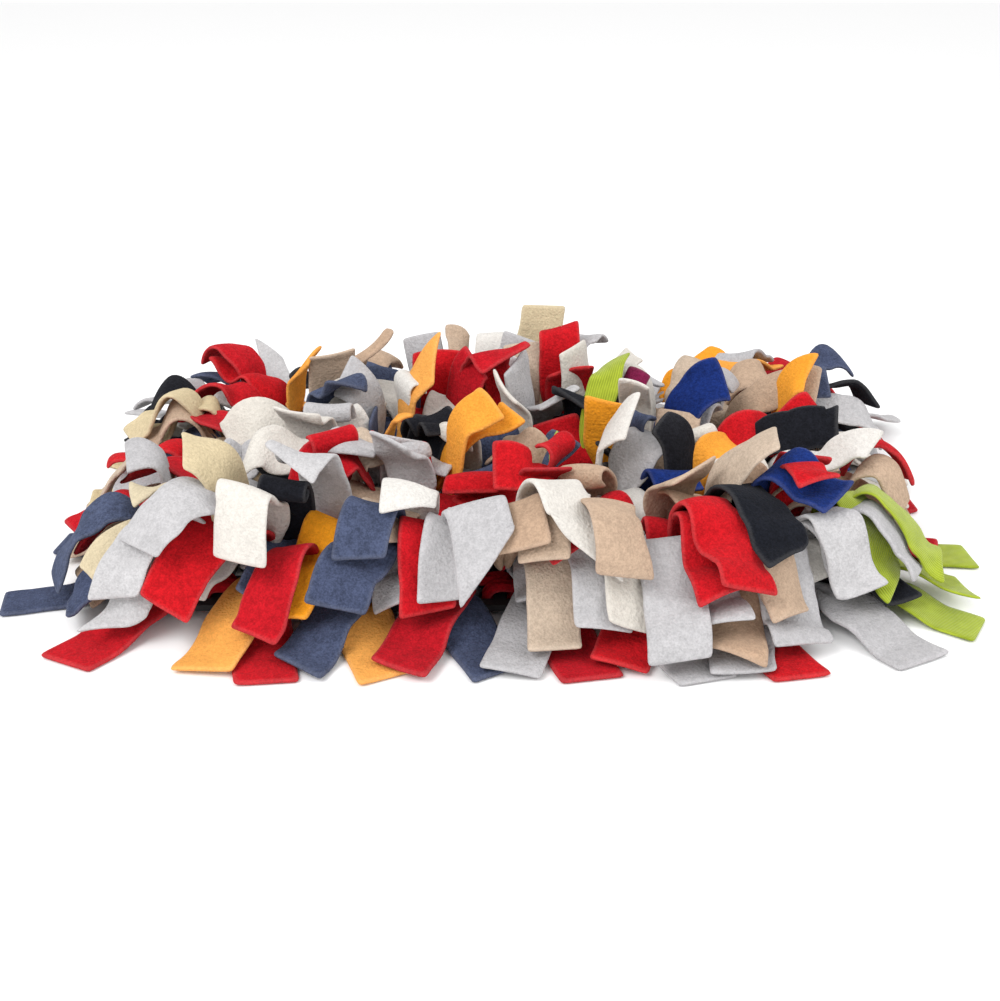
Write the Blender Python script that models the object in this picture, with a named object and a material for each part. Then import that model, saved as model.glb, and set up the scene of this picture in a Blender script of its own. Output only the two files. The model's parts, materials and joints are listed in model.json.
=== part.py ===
"""Snuffle mat: fleece strips tied through a rubber lattice, their tails lying over one another."""

import math

import bpy
import numpy as np

MM = 0.001

# rubber lattice
COLUMNS = 16
ROWS = 9
PITCH = 28.0
RIB = 8.0
LATTICE_UNDER = 5.4
LATTICE_THICK = 4.0
LATTICE_TOP = LATTICE_UNDER + LATTICE_THICK

# one tied strip, gathered where it goes round the rib
BAR_WIDTH = 16.0
BAR_THICK = 5.0
LEG_WIDTH = 12.0
LEG_THICK = 7.0
LEG_OUT = 8.4
CROSS_WIDTH = 8.6
CROSS_THICK = 7.0
CROSS_ASIDE = 4.7
CROSS_UP = LATTICE_TOP + CROSS_THICK / 2 + 1.7
KNOT_REACH = 11.0
KNOT_TOP = CROSS_UP + CROSS_THICK / 2
CLOTH = 3.0
FAN_OUT = 34.0

# how a tail lies
CLEAR = 1.7
EDGE = 0.8
ACROSS = 19
MOST_TILT = 0.32
DRAPE_RADIUS = 24.0
STEEPEST = 1.15
HIGHEST = 62.0
TURNS_TRIED = (0, 8, -8, 16, -16, 24, -24, 34, -34, 46, -46)
TURN_COST = 1 / 60
GOOD_ENOUGH = 1 / 3
RAMP_RADIUS = 8.0
RAMP_STEEPEST = 1.6
TURN_WITHIN = 20.0
CREST_AT = 0.4
TAIL_SECTIONS = 8
SAMPLE = 2.0

# height map of what is already laid
CELL = 1.5
MAP_X = 360.0
MAP_Y = 280.0

COLOURS = {
    "red": (0.63, 0.016, 0.026),
    "light_grey": (0.55, 0.54, 0.56),
    "white": (0.80, 0.77, 0.72),
    "beige": (0.55, 0.38, 0.26),
    "mustard": (0.87, 0.36, 0.03),
    "slate": (0.08, 0.10, 0.17),
    "black": (0.018, 0.018, 0.024),
    "navy": (0.012, 0.03, 0.20),
    "lime": (0.31, 0.42, 0.035),
    "plum": (0.25, 0.02, 0.09),
    "cream": (0.68, 0.55, 0.31),
    "rubber": (0.03, 0.03, 0.032),
}

# x, y: the middle of the rib the strip is tied round; along: the way its two legs stand apart.
# heading: the way a tail points, in degrees; long: its length past the knot; crest: the height it arches to.
TIE_COLUMNS = (
    "colour", "x", "y", "along", "wide",
    "heading_a", "long_a", "crest_a", "heading_b", "long_b", "crest_b",
)
# laid in this order, the rim first
TIES = (
    ("red", -168, -112, "x", 36, -78, 98, 0, -126, 104, 0),
    ("mustard", -112, -112, "x", 36, -70, 96, 0, -110, 104, 0),
    ("slate", -56, -112, "x", 34, -66, 94, 0, -112, 104, 0),
    ("red", 0, -112, "x", 36, -70, 98, 0, -112, 106, 0),
    ("light_grey", 56, -112, "x", 35, -66, 102, 0, -108, 106, 0),
    ("red", 112, -112, "x", 34, -68, 98, 0, -106, 100, 0),
    ("light_grey", 168, -112, "x", 37, -52, 92, 0, -98, 104, 0),
    ("slate", -210, -70, "y", 28, 172, 84, 0, -166, 109, 0),
    ("beige", -210, -14, "y", 33, 160, 84, 0, -170, 86, 0),
    ("cream", -210, 42, "y", 32, 152, 86, 0, -176, 88, 0),
    ("lime", 210, -70, "y", 30, -6, 98, 0, -36, 104, 0),
    ("red", 210, -14, "y", 32, 14, 84, 0, -14, 90, 0),
    ("white", 210, 42, "y", 33, 32, 84, 0, 2, 86, 0),
    ("light_grey", -168, 112, "x", 35, 96, 92, 0, 142, 96, 0),
    ("red", -112, 112, "x", 34, 72, 98, 0, 112, 98, 0),
    ("black", -56, 112, "x", 34, 68, 92, 0, 112, 100, 0),
    ("cream", 0, 112, "x", 33, 60, 98, 0, 108, 98, 0),
    ("light_grey", 84, 112, "x", 34, 66, 98, 0, 104, 96, 0),
    ("mustard", 140, 112, "x", 33, 70, 100, 0, 106, 96, 0),
    ("red", 196, 112, "x", 36, 18, 90, 0, 58, 98, 0),
    ("white", -140, -56, "x", 36, -66, 90, 20, -138, 86, 20),
    ("light_grey", -84, -56, "x", 35, -62, 86, 20, -116, 90, 20),
    ("light_grey", -28, -56, "x", 34, -64, 86, 20, -112, 86, 20),
    ("beige", 28, -56, "x", 35, -66, 84, 20, -114, 88, 20),
    ("beige", 84, -56, "x", 34, -62, 86, 20, -112, 88, 20),
    ("black", 140, -56, "x", 36, -44, 92, 20, -104, 84, 20),
    ("beige", -140, 56, "x", 34, 80, 84, 26, 150, 88, 26),
    ("slate", -84, 56, "x", 35, 74, 84, 26, 116, 86, 26),
    ("light_grey", -28, 56, "x", 34, 76, 82, 28, 122, 84, 28),
    ("lime", 28, 56, "x", 30, 66, 88, 24, 124, 84, 28),
    ("plum", 84, 56, "x", 31, 64, 84, 28, 98, 82, 24),
    ("beige", 140, 56, "x", 33, 22, 94, 26, 92, 84, 26),
    ("white", -182, 14, "y", 30, 112, 82, 32, -150, 84, 0),
    ("white", -126, 14, "y", 30, 104, 84, 38, -92, 84, 0),
    ("slate", -70, 14, "y", 30, 98, 84, 44, -91, 84, 0),
    ("mustard", -14, 14, "y", 30, 94, 84, 50, -90, 84, 0),
    ("black", 42, 14, "y", 26, 84, 84, 50, -83, 84, 0),
    ("navy", 98, 14, "y", 30, 74, 84, 44, -89, 84, 0),
    ("red", 154, 14, "y", 30, 60, 88, 38, -88, 84, 0),
    ("cream", -154, -14, "y", 32, 118, 80, 38, -116, 84, 34),
    ("light_grey", -98, -14, "y", 32, 106, 84, 46, -104, 84, 42),
    ("red", -42, -14, "y", 32, 98, 84, 52, -100, 84, 46),
    ("red", 14, -14, "y", 32, 92, 84, 54, -97, 84, 50),
    ("white", 70, -14, "y", 32, 80, 84, 52, -82, 84, 46),
    ("beige", 126, -14, "y", 32, 70, 84, 46, -74, 84, 42),
    ("navy", 182, -14, "y", 32, 40, 80, 34, -40, 84, 28),
)

# the one tail that stands up: its tie counted from 1, how far it leans and the way its face turns
UPRIGHT = {"tie": 17, "part": "a", "lean": 22.0, "face": -78.0}


def half_width(tail_width, along):
    """Half the width of a tail at a length past the knot."""
    share = min(max(along / FAN_OUT, 0.0), 1.0)
    share = share * share * (3 - 2 * share)
    return (CROSS_WIDTH + (tail_width - CROSS_WIDTH) * share) / 2


def thickness(along):
    share = min(max(along / (FAN_OUT * 0.7), 0.0), 1.0)
    share = share * share * (3 - 2 * share)
    return CROSS_THICK + (CLOTH - CROSS_THICK) * share


class Pile:
    """Height of the highest thing laid so far, over each cell of the floor."""

    def __init__(self):
        across = int(2 * MAP_X / CELL)
        deep = int(2 * MAP_Y / CELL)
        self.top = np.full((across, deep), -CLEAR)
        self.owner = np.full((across, deep), -1)

    def cells(self, x, y):
        column = np.clip(((x + MAP_X) / CELL).astype(int), 0, self.top.shape[0] - 1)
        row = np.clip(((y + MAP_Y) / CELL).astype(int), 0, self.top.shape[1] - 1)
        return column, row

    def raise_box(self, x, y, half_x, half_y, height, owner=-1):
        xs = np.arange(x - half_x, x + half_x + CELL / 2, CELL / 2)
        ys = np.arange(y - half_y, y + half_y + CELL / 2, CELL / 2)
        column, row = self.cells(*[axis.ravel() for axis in np.meshgrid(xs, ys)])
        self.top[column, row] = np.maximum(self.top[column, row], height)
        self.owner[column, row] = owner

    def height(self, x, y, owner):
        column, row = self.cells(x, y)
        own = self.owner[column, row] == owner
        return np.where(own, LATTICE_TOP, self.top[column, row])

    def cover(self, x, y, height):
        column, row = self.cells(x, y)
        higher = height > self.top[column, row]
        np.maximum.at(self.top, (column, row), height)
        self.owner[column[higher], row[higher]] = -1


def plan_path(start, exit_heading, heading, length):
    """Points of a tail seen from above, turning from its way out of the knot to its heading."""
    turn = (heading - exit_heading + 180) % 360 - 180
    steps = int(length / SAMPLE) + 1
    share = np.clip(np.arange(steps) * SAMPLE / TURN_WITHIN, 0, 1)
    angle = np.radians(exit_heading + turn * share * share * (3 - 2 * share))
    ways = np.stack([np.cos(angle), np.sin(angle)], axis=1)
    middles = (ways[1:] + ways[:-1]) / 2 * SAMPLE
    points = np.vstack([[0.0, 0.0], np.cumsum(middles, axis=0)]) + start
    return points, ways


def hang(distance, radius=DRAPE_RADIUS, steepest=STEEPEST):
    """How far cloth bent over a radius has dropped, or risen, at a distance."""
    bend = steepest * radius
    curved = distance * distance / (2 * radius)
    straight = bend * steepest / 2 + (distance - bend) * steepest
    return np.where(distance < bend, curved, straight)


def drape(need, along):
    """The lowest line over the needed heights that bends no tighter than the cloth does."""
    gap = np.abs(along[:, None] - along[None, :])
    return (need[None, :] - hang(gap)).max(axis=1)


def lay(pile, index, tie, start, exit_heading, heading, length, crest):
    """Heights and tilts along a tail that lies on the pile, and how far its root is forced up."""
    points, ways = plan_path(start, exit_heading, heading, length)
    along = np.arange(len(points)) * SAMPLE
    sides = np.stack([-ways[:, 1], ways[:, 0]], axis=1)
    halves = np.array([half_width(tie["wide"], s) for s in along])
    thick = np.array([thickness(s) for s in along])
    offsets = np.linspace(-1, 1, ACROSS)[None, :] * (halves[:, None] + EDGE)
    x = points[:, :1] + sides[:, :1] * offsets
    y = points[:, 1:] + sides[:, 1:] * offsets
    below = pile.height(x, y, index)
    near_side = below[:, :ACROSS // 2 - 1].max(axis=1)
    far_side = below[:, ACROSS // 2 + 2:].max(axis=1)
    tilt = np.clip((far_side - near_side) / (halves * 1.6), -MOST_TILT, MOST_TILT)
    tilt *= np.clip(along / FAN_OUT - 0.5, 0, 1)
    tilt = np.convolve(np.pad(tilt, 5, mode="edge"), np.ones(11) / 11, mode="valid")
    tilt[below.max(axis=1) < 0] = 0
    need = (below - tilt[:, None] * offsets).max(axis=1) + CLEAR + thick / 2
    need[0] = CROSS_UP
    if crest:
        middle = int(CREST_AT * len(points))
        need[middle] = max(need[middle], crest)
    ramp = CROSS_UP + hang(along, RAMP_RADIUS, RAMP_STEEPEST)
    slope = np.gradient(np.minimum(drape(need, along), ramp), SAMPLE)
    need = need + thick * 0.55 * (np.sqrt(1 + slope * slope + tilt * tilt) - 1)
    need[0] = CROSS_UP
    forced = (need - ramp).max()
    level = np.minimum(drape(need, along), ramp)
    return points, sides, along, level, tilt, forced


def tail_sections(pile, index, tie, start, exit_heading, part):
    """Sections of a tail, laid at the heading nearest its own that lies without being forced up."""
    best = None
    for turn in TURNS_TRIED:
        trial = lay(
            pile, index, tie, start, exit_heading,
            tie["heading_" + part] + turn, tie["long_" + part] + SAMPLE, tie["crest_" + part],
        )
        too_high = max(trial[3].max() - HIGHEST, 0)
        cost = max(trial[5], 0) + too_high + abs(turn) * TURN_COST
        if best is None or cost < best[0]:
            best = (cost, trial)
        if cost < GOOD_ENOUGH:
            break
    points, sides, along, level, tilt, forced = best[1]
    if forced > 0:
        print(f"tie {index + 1} {part} is forced up {forced:.1f} mm at its root")
    step = np.hypot(np.diff(level), SAMPLE)
    arc = np.concatenate([[0.0], np.cumsum(step)])
    last = tie["long_" + part]
    stations = last * np.linspace(0, 1, TAIL_SECTIONS + 1)[1:] ** 0.92
    slope = np.gradient(level, SAMPLE)
    sections = []
    for station in stations:
        s = np.interp(station, arc, along)
        point = [np.interp(s, along, points[:, i]) for i in (0, 1)]
        side = np.array([np.interp(s, along, sides[:, i]) for i in (0, 1)])
        side /= np.linalg.norm(side)
        m = np.interp(s, along, slope)
        lean = np.interp(s, along, tilt)
        way = np.array([side[1], -side[0], m])
        way /= np.linalg.norm(way)
        across = np.array([side[0], side[1], lean])
        across -= way * (across @ way)
        across /= np.linalg.norm(across)
        sections.append({
            "at": np.array([*point, np.interp(s, along, level)]),
            "across": -across,
            "up": -np.cross(way, across),
            "wide": 2 * half_width(tie["wide"], s),
            "thick": thickness(s),
        })
    return sections


def upright_sections(tie, start, exit_heading):
    """Sections of the tail that stands up out of its knot and turns its face to the front."""
    long = tie["long_a"]
    face = math.radians(UPRIGHT["face"] + 90)
    sections = []
    at = np.array([*start, CROSS_UP])
    before = 0.0
    for station in long * np.linspace(0, 1, TAIL_SECTIONS + 3)[1:]:
        pitch = math.radians(90 - UPRIGHT["lean"]) * min(station / 16, 1)
        turn = (tie["heading_a"] - exit_heading + 180) % 360 - 180
        heading = math.radians(exit_heading + turn * min(station / 14, 1))
        way = np.array([
            math.cos(heading) * math.cos(pitch), math.sin(heading) * math.cos(pitch), math.sin(pitch),
        ])
        at = at + way * (station - before)
        before = station
        twist = min(station / 30, 1)
        side = np.array([-math.sin(heading), math.cos(heading), 0]) * (1 - twist)
        side = side - np.array([math.cos(face), math.sin(face), 0]) * twist
        side -= way * (side @ way)
        side /= np.linalg.norm(side)
        sections.append({
            "at": at,
            "across": -side,
            "up": -np.cross(way, side),
            "wide": 2 * half_width(tie["wide"], station),
            "thick": thickness(station),
        })
    return sections


def knot_sections(tie, sign):
    """Sections of half a strip from the middle of its under-bar to where it leaves the knot."""
    turn = 0.0 if tie["along"] == "x" else math.pi / 2
    out = np.array([math.cos(turn), math.sin(turn), 0.0])
    aside = np.array([-math.sin(turn), math.cos(turn), 0.0])
    up = np.array([0.0, 0.0, 1.0])
    middle = np.array([tie["x"], tie["y"], 0.0])
    # the first half crosses on the side its tail heads for
    heading = math.radians(tie["heading_a"])
    hand = 1 if aside @ (math.cos(heading), math.sin(heading), 0) < 0 else -1
    rows = (
        # out, aside, up, then the way the strip runs there, its width and its thickness
        (5.0, 0.0, BAR_THICK / 2, (1, 0), BAR_WIDTH, BAR_THICK),
        (LEG_OUT, 2.0, BAR_THICK - 0.6, (0.6, 1), LEG_WIDTH, LEG_THICK),
        (LEG_OUT, CROSS_ASIDE, LATTICE_TOP, (0, 1), CROSS_WIDTH, LEG_THICK),
        (5.2, CROSS_ASIDE, CROSS_UP, (-1, 0.25), CROSS_WIDTH, CROSS_THICK),
        (-KNOT_REACH, CROSS_ASIDE, CROSS_UP, (-1, 0), CROSS_WIDTH, CROSS_THICK),
    )
    sections = []
    for reach, away, height, (run_out, run_up), wide, thick in rows:
        way = sign * out * run_out + up * run_up
        way /= np.linalg.norm(way)
        across = np.cross(up, sign * out)
        sections.append({
            "at": middle + sign * (out * reach + aside * away * hand) + up * height,
            "across": across,
            "up": np.cross(way, across),
            "wide": wide,
            "thick": thick,
        })
    return sections


def strip_mesh(name, sections, material):
    """A closed band with four corners at each section."""
    corners = []
    for cut in sections:
        half = cut["across"] * cut["wide"] / 2
        rise = cut["up"] * cut["thick"] / 2
        corners += [cut["at"] + half + rise, cut["at"] - half + rise,
                    cut["at"] - half - rise, cut["at"] + half - rise]
    faces = [(3, 2, 1, 0)]
    for row in range(len(sections) - 1):
        base = 4 * row
        for corner in range(4):
            after = (corner + 1) % 4
            faces.append((base + corner, base + after, base + 4 + after, base + 4 + corner))
    base = 4 * (len(sections) - 1)
    faces.append((base, base + 1, base + 2, base + 3))
    mesh = bpy.data.meshes.new(name)
    mesh.from_pydata([tuple(point * MM) for point in corners], [], faces)
    mesh.materials.append(material)
    return mesh


def make_material(name):
    material = bpy.data.materials.new(name)
    material.use_nodes = True
    shader = material.node_tree.nodes["Principled BSDF"]
    shader.inputs["Base Color"].default_value = (*COLOURS[name], 1)
    shader.inputs["Roughness"].default_value = 0.6 if name == "rubber" else 0.9
    shader.inputs["Metallic"].default_value = 0
    return material


def add_object(name, mesh, collection):
    made = bpy.data.objects.new(name, mesh)
    collection.objects.link(made)
    return made


def make_lattice(material, collection):
    """A flat sheet of rubber with a grid of square holes."""
    half_x = (COLUMNS * PITCH + RIB) / 2
    half_y = (ROWS * PITCH + RIB) / 2
    lines_x = [-half_x]
    for column in range(COLUMNS):
        middle = (column + 0.5 - COLUMNS / 2) * PITCH
        lines_x += [middle - (PITCH - RIB) / 2, middle + (PITCH - RIB) / 2]
    lines_x.append(half_x)
    lines_y = [-half_y]
    for row in range(ROWS):
        middle = (row + 0.5 - ROWS / 2) * PITCH
        lines_y += [middle - (PITCH - RIB) / 2, middle + (PITCH - RIB) / 2]
    lines_y.append(half_y)
    deep = len(lines_y)
    points = [
        (x * MM, y * MM, z * MM)
        for z in (LATTICE_UNDER, LATTICE_TOP) for x in lines_x for y in lines_y
    ]
    above = len(lines_x) * deep

    def solid(i, j):
        inside = 0 <= i < len(lines_x) - 1 and 0 <= j < deep - 1
        return inside and not (i % 2 and j % 2)

    faces = []
    for i in range(-1, len(lines_x)):
        for j in range(-1, deep):
            a, b, c, d = i * deep + j, (i + 1) * deep + j, (i + 1) * deep + j + 1, i * deep + j + 1
            if solid(i, j):
                faces.append((a + above, b + above, c + above, d + above))
                faces.append((a, d, c, b))
            if solid(i, j) != solid(i + 1, j):
                wall = (b, c, c + above, b + above)
                faces.append(wall if solid(i, j) else wall[::-1])
            if solid(i, j) != solid(i, j + 1):
                wall = (c, d, d + above, c + above)
                faces.append(wall if solid(i, j) else wall[::-1])
    mesh = bpy.data.meshes.new("lattice")
    mesh.from_pydata(points, [], faces)
    mesh.validate()
    mesh.materials.append(material)
    return add_object("lattice", mesh, collection)


def main():
    for old in list(bpy.data.objects):
        bpy.data.objects.remove(old)
    collection = bpy.data.collections.new("snuffle_mat")
    bpy.context.scene.collection.children.link(collection)
    materials = {name: make_material(name) for name in COLOURS}
    make_lattice(materials["rubber"], collection)

    ties = [dict(zip(TIE_COLUMNS, row)) for row in TIES]
    pile = Pile()
    pile.raise_box(
        0, 0, (COLUMNS * PITCH + RIB) / 2 + 2, (ROWS * PITCH + RIB) / 2 + 2, LATTICE_TOP
    )
    for index, tie in enumerate(ties):
        reach = (KNOT_REACH + 3, LEG_WIDTH / 2 + 5)
        half_x, half_y = reach if tie["along"] == "x" else reach[::-1]
        pile.raise_box(tie["x"], tie["y"], half_x, half_y, KNOT_TOP, index)

    stands = ties[UPRIGHT["tie"] - 1]
    pile.raise_box(stands["x"] + 20, stands["y"] + 8, 17, 14, 120.0, UPRIGHT["tie"] - 1)

    for index, tie in enumerate(ties):
        halves = []
        for sign, part in ((-1, "a"), (1, "b")):
            knot = knot_sections(tie, sign)
            out = 0.0 if tie["along"] == "x" else 90.0
            leaving = out + (180 if sign > 0 else 0)
            start = knot[-1]["at"][:2]
            if (index + 1, part) == (UPRIGHT["tie"], UPRIGHT["part"]):
                tail = upright_sections(tie, start, leaving)
            else:
                tail = tail_sections(pile, index, tie, start, leaving, part)
                for before, after in zip([knot[-1]] + tail[:-1], tail):
                    cover_piece(pile, before, after)
            halves.append(knot + tail)
        first = [dict(cut, across=-cut["across"]) for cut in reversed(halves[0])]
        mesh = strip_mesh(
            f"strip_{index + 1:02d}", first + halves[1], materials[tie["colour"]]
        )
        add_object(mesh.name, mesh, collection)


def cover_piece(pile, before, after):
    """Raises the pile by the top of one length of a strip."""
    steps = np.linspace(0, 1, 18)
    shares = np.linspace(-1, 1, 49)
    ahead, side = [axis.ravel()[:, None] for axis in np.meshgrid(steps, shares)]
    points = 0
    for share, cut in ((1 - ahead, before), (ahead, after)):
        half = cut["wide"] / 2 + EDGE
        points = points + share * (
            cut["at"] + cut["across"] * half * side - cut["up"] * cut["thick"] / 2
        )
    pile.cover(points[:, 0], points[:, 1], points[:, 2])


main()
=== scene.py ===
import json
import math

import bpy
import numpy as np
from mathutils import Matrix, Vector


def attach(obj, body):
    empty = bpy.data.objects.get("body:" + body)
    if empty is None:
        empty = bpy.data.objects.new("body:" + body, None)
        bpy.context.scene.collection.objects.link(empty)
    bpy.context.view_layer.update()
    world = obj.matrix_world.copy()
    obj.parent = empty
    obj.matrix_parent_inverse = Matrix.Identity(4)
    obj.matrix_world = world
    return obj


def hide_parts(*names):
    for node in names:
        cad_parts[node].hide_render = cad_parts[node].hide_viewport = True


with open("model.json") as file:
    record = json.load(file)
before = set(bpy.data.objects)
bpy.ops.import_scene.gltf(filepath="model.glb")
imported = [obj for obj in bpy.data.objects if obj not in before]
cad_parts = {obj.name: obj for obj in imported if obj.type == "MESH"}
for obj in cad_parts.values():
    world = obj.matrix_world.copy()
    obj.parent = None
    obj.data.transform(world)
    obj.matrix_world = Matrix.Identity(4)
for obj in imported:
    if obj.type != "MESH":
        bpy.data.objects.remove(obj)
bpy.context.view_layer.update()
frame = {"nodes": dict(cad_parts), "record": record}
mm = 0.001
print("frame loaded:", len(frame["nodes"]), "nodes")


# shader maths: a socket that can be added, multiplied and compared
class Socket:
    def __init__(self, tree, link):
        self.tree = tree
        self.link = link

    def node(self, kind, settings=None, output=0, **inputs):
        made = self.tree.nodes.new("ShaderNode" + kind)
        for name, value in (settings or {}).items():
            if name == "stops":
                ramp = made.color_ramp
                while len(ramp.elements) < len(value):
                    ramp.elements.new(0.5)
                for element, (place, colour) in zip(ramp.elements, value):
                    element.position = place
                    element.color = (*colour, 1)
            else:
                setattr(made, name, value)
        for name, value in inputs.items():
            key = int(name[2:]) if name.startswith("in") and name[2:].isdigit() else name.replace("_", " ")
            if isinstance(value, Socket):
                self.tree.links.new(value.link, made.inputs[key])
            else:
                made.inputs[key].default_value = value
        return Socket(self.tree, made.outputs[output])

    def maths(self, operation, first, second=0.0, clamp=False):
        return self.node("Math", {"operation": operation, "use_clamp": clamp}, in0=first, in1=second)

    def __add__(self, other):
        return self.maths("ADD", self, other)

    def __radd__(self, other):
        return self.maths("ADD", other, self)

    def __sub__(self, other):
        return self.maths("SUBTRACT", self, other)

    def __rsub__(self, other):
        return self.maths("SUBTRACT", other, self)

    def __mul__(self, other):
        return self.maths("MULTIPLY", self, other)

    def __rmul__(self, other):
        return self.maths("MULTIPLY", other, self)

    def power(self, other):
        return self.maths("POWER", self, other)

    def between(self, low, high):
        return self.node("MapRange", {"interpolation_type": "SMOOTHSTEP"},
                         Value=self, From_Min=low, From_Max=high, To_Min=0.0, To_Max=1.0)

    def mixed(self, first, second):
        # this socket is the share of the second colour
        made = self.tree.nodes.new("ShaderNodeMix")
        made.data_type = "RGBA"
        self.tree.links.new(self.link, made.inputs[0])
        for place, value in ((6, first), (7, second)):
            if isinstance(value, Socket):
                self.tree.links.new(value.link, made.inputs[place])
            else:
                made.inputs[place].default_value = (*value, 1)
        return Socket(self.tree, made.outputs[2])


def newMaterial(name, **constants):
    material = bpy.data.materials.new(name)
    material.use_nodes = True
    shader = material.node_tree.nodes["Principled BSDF"]
    for key, value in constants.items():
        shader.inputs[key.replace("_", " ")].default_value = value
    return material, shader, Socket(material.node_tree, None)


# fleece, jersey and rubber
fleece = {
    "pileSize": 900.0,     # knots of pile in a metre
    "tuftSize": 330.0,
    "mottleSize": 70.0,
    "pileDeep": 0.0009,
    "sheen": 0.10,
}

dyes = {
    "red": {"colour": (0.52, 0.008, 0.013), "deep": 0.62, "bright": 1.22, "warm": (0.44, 0.008, 0.016)},
    "light_grey": {"colour": (0.43, 0.42, 0.43), "deep": 0.80, "bright": 1.14, "warm": (0.51, 0.50, 0.505)},
    "white": {"colour": (0.66, 0.635, 0.60), "deep": 0.86, "bright": 1.10, "warm": (0.62, 0.58, 0.52)},
    "beige": {"colour": (0.44, 0.30, 0.205), "deep": 0.78, "bright": 1.18, "warm": (0.50, 0.40, 0.31)},
    "mustard": {"colour": (0.82, 0.31, 0.014), "deep": 0.80, "bright": 1.10, "warm": (0.82, 0.38, 0.10)},
    "slate": {"colour": (0.056, 0.070, 0.122), "deep": 0.62, "bright": 1.50, "warm": (0.048, 0.060, 0.11)},
    "black": {"colour": (0.007, 0.008, 0.012), "deep": 0.6, "bright": 1.6, "warm": (0.010, 0.010, 0.013)},
    "navy": {"colour": (0.007, 0.021, 0.125), "deep": 0.6, "bright": 1.5, "warm": (0.008, 0.025, 0.14)},
    "plum": {"colour": (0.19, 0.012, 0.058), "deep": 0.66, "bright": 1.4, "warm": (0.15, 0.010, 0.045)},
    "cream": {"colour": (0.57, 0.455, 0.265), "deep": 0.84, "bright": 1.12, "warm": (0.58, 0.50, 0.35)},
}


def makeFleece(name, dye):
    material, shader, start = newMaterial(
        "fleece_" + name, Roughness=1.0, Sheen_Weight=fleece["sheen"], Sheen_Roughness=0.5,
        Specular_IOR_Level=0.12,
    )
    tint = [0.1 + 0.9 * channel ** 0.5 for channel in dye["colour"]]
    shader.inputs["Sheen Tint"].default_value = (*tint, 1)
    place = start.node("TexCoord", output="Object")
    pile = start.node("TexNoise", Vector=place, Scale=fleece["pileSize"], Detail=3.0, Roughness=0.62)
    tufts = start.node("TexVoronoi", {"feature": "SMOOTH_F1"}, Vector=place,
                       Scale=fleece["tuftSize"] * 1.6, Smoothness=0.5)
    matted = start.node("TexNoise", Vector=place, Scale=fleece["tuftSize"], Detail=4.0, Roughness=0.6)
    mottle = start.node("TexNoise", Vector=place, Scale=fleece["mottleSize"], Detail=2.0, Roughness=0.5)
    batch = start.node("Attribute", {"attribute_name": "batch"}, output="Fac")
    edge_highlight = start.node("Attribute", {"attribute_name": "rim"}, output="Fac")
    body = batch.mixed(dye["colour"], dye["warm"])
    deep = start.node("Mix", {"data_type": "RGBA", "blend_type": "MULTIPLY"}, output=2,
                      in0=1.0, in6=body, in7=(dye["deep"], dye["deep"], dye["deep"], 1))
    bright = start.node("Mix", {"data_type": "RGBA", "blend_type": "MULTIPLY"}, output=2,
                        in0=1.0, in6=body, in7=(dye["bright"], dye["bright"], dye["bright"], 1))
    speckle = (pile * 0.55 + matted * 0.45).between(0.36, 0.66)
    shade = speckle * 0.75 + mottle.between(0.3, 0.7) * 0.25
    dyed = shade.mixed(deep, bright)
    # painted highlight: each strip's cut edges are mixed towards a pale colour, standing in for light
    # caught by the fuzzy cut edges
    pale = start.node("Mix", {"data_type": "RGBA", "blend_type": "MIX"}, output=2,
                      in0=0.22, in6=bright, in7=(0.9, 0.88, 0.86, 1))
    edge = (edge_highlight * (0.5 + 0.9 * pile)).between(0.30, 0.95)
    coloured = (edge * 0.12).mixed(dyed, pale)
    material.node_tree.links.new(coloured.link, shader.inputs["Base Color"])
    height = pile * 0.6 + matted * 0.7 + tufts * 0.5
    bump = start.node("Bump", Height=height, Strength=1.0, Distance=fleece["pileDeep"])
    material.node_tree.links.new(bump.link, shader.inputs["Normal"])
    return material


jersey = {
    "colour": (0.365, 0.445, 0.030),
    "shade": (0.22, 0.28, 0.014),
    "rib": 0.0016,
    "sheen": 0.25,
}


def makeJersey():
    material, shader, start = newMaterial(
        "jersey_lime", Roughness=0.85, Sheen_Weight=jersey["sheen"], Sheen_Roughness=0.4,
        Specular_IOR_Level=0.25,
    )
    place = start.node("TexCoord", output="Object")
    across = start.node("Attribute", {"attribute_name": "across"}, output="Fac")
    along = start.node("Attribute", {"attribute_name": "along"}, output="Fac")
    drift = start.node("TexNoise", Vector=place, Scale=60.0, Detail=2.0)
    ribs = start.maths("SINE", (across + drift * 0.0012) * (2 * math.pi / jersey["rib"])) * 0.5 + 0.5
    stitches = start.maths("SINE", along * (2 * math.pi / 0.0011)) * 0.5 + 0.5
    creases = start.node("TexNoise", Vector=place, Scale=140.0, Detail=3.0)
    shade = (ribs * 0.45 + creases * 0.75).between(0.25, 0.85)
    coloured = shade.mixed(jersey["shade"], jersey["colour"])
    material.node_tree.links.new(coloured.link, shader.inputs["Base Color"])
    height = ribs * 0.8 + stitches * 0.15 + creases * 0.5
    bump = start.node("Bump", Height=height, Strength=0.6, Distance=0.0006)
    material.node_tree.links.new(bump.link, shader.inputs["Normal"])
    return material


rubber = {"colour": (0.022, 0.022, 0.024), "dust": (0.075, 0.07, 0.065)}


def makeRubber():
    material, shader, start = newMaterial("moulded_rubber", Specular_IOR_Level=0.35)
    place = start.node("TexCoord", output="Object")
    grain = start.node("TexNoise", Vector=place, Scale=420.0, Detail=4.0)
    cloud = start.node("TexNoise", Vector=place, Scale=24.0, Detail=3.0)
    dusty = cloud.between(0.45, 0.75) * 0.5
    coloured = dusty.mixed(rubber["colour"], rubber["dust"])
    material.node_tree.links.new(coloured.link, shader.inputs["Base Color"])
    material.node_tree.links.new((grain * 0.25 + 0.48).link, shader.inputs["Roughness"])
    bump = start.node("Bump", Height=grain, Strength=0.35, Distance=0.0004)
    material.node_tree.links.new(bump.link, shader.inputs["Normal"])
    return material


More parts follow.
